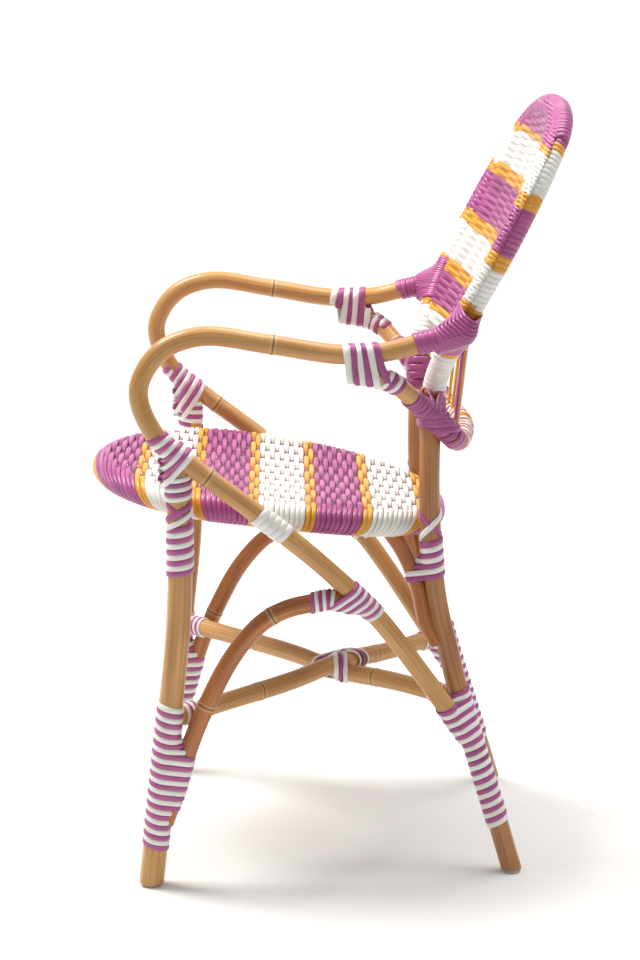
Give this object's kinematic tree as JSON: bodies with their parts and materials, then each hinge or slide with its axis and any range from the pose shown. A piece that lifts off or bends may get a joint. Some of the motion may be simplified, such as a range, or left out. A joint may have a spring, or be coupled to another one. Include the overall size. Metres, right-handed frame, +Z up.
{
  "type": "bistro armchair",
  "caption": "Rattan bistro armchair: bent poles with a round woven seat, woven hoop back, loop arms, crossed stretchers and strand-bound joints.",
  "frame": {"origin": "floor level, at the middle of the overall width and depth", "axes": "+Z up; the sitter faces -Y; +X is the sitter's left"},
  "size_m": [0.45, 0.5562, 0.8889],
  "materials": {
    "rattan": "satin lacquer over honey-coloured rattan",
    "brown_rattan": "satin lacquer over brown rattan",
    "purple_strand": "glossy synthetic strand",
    "white_strand": "glossy synthetic strand",
    "glide": "matt"
  },
  "bodies": {
    "root": {"back_pole": "brown_rattan", "seat_ring": "rattan", "seat_weave": "purple_strand", "back_rail": "rattan", "back_weave": "purple_strand", "stretcher_left_front": "rattan", "stretcher_right_front": "rattan", "seat_rail_front": "rattan", "seat_rail_rear": "rattan", "front_leg_left": "rattan", "arm_pole_left": "rattan", "arch_brace_left": "brown_rattan", "knee_brace_left": "brown_rattan", "front_glide_left": "glide", "rear_glide_left": "glide", "front_joint_binding_left": "white_strand", "front_joint_strand_left": "purple_strand", "front_upper_binding_left": "white_strand", "front_upper_strand_left": "purple_strand", "front_shin_binding_left": "white_strand", "front_shin_strand_left": "purple_strand", "front_foot_binding_left": "white_strand", "front_foot_strand_left": "purple_strand", "rear_upper_binding_left": "white_strand", "rear_upper_strand_left": "purple_strand", "rear_lower_binding_left": "white_strand", "rear_lower_strand_left": "purple_strand", "arm_strut_binding_left": "white_strand", "arm_strut_strand_left": "purple_strand", "arch_top_binding_left": "white_strand", "arch_top_strand_left": "purple_strand", "back_joint_binding_left": "purple_strand", "arm_end_binding_left": "purple_strand", "seat_tie_left": "white_strand", "front_leg_right": "rattan", "arm_pole_right": "rattan", "arch_brace_right": "brown_rattan", "knee_brace_right": "brown_rattan", "front_glide_right": "glide", "rear_glide_right": "glide", "front_joint_binding_right": "white_strand", "front_joint_strand_right": "purple_strand", "front_upper_binding_right": "white_strand", "front_upper_strand_right": "purple_strand", "front_shin_binding_right": "white_strand", "front_shin_strand_right": "purple_strand", "front_foot_binding_right": "white_strand", "front_foot_strand_right": "purple_strand", "rear_upper_binding_right": "white_strand", "rear_upper_strand_right": "purple_strand", "rear_lower_binding_right": "white_strand", "rear_lower_strand_right": "purple_strand", "arm_strut_binding_right": "white_strand", "arm_strut_strand_right": "purple_strand", "arch_top_binding_right": "white_strand", "arch_top_strand_right": "purple_strand", "back_joint_binding_right": "purple_strand", "arm_end_binding_right": "purple_strand", "seat_tie_right": "white_strand", "centre_tie": "white_strand"}
  },
  "joints": []
}
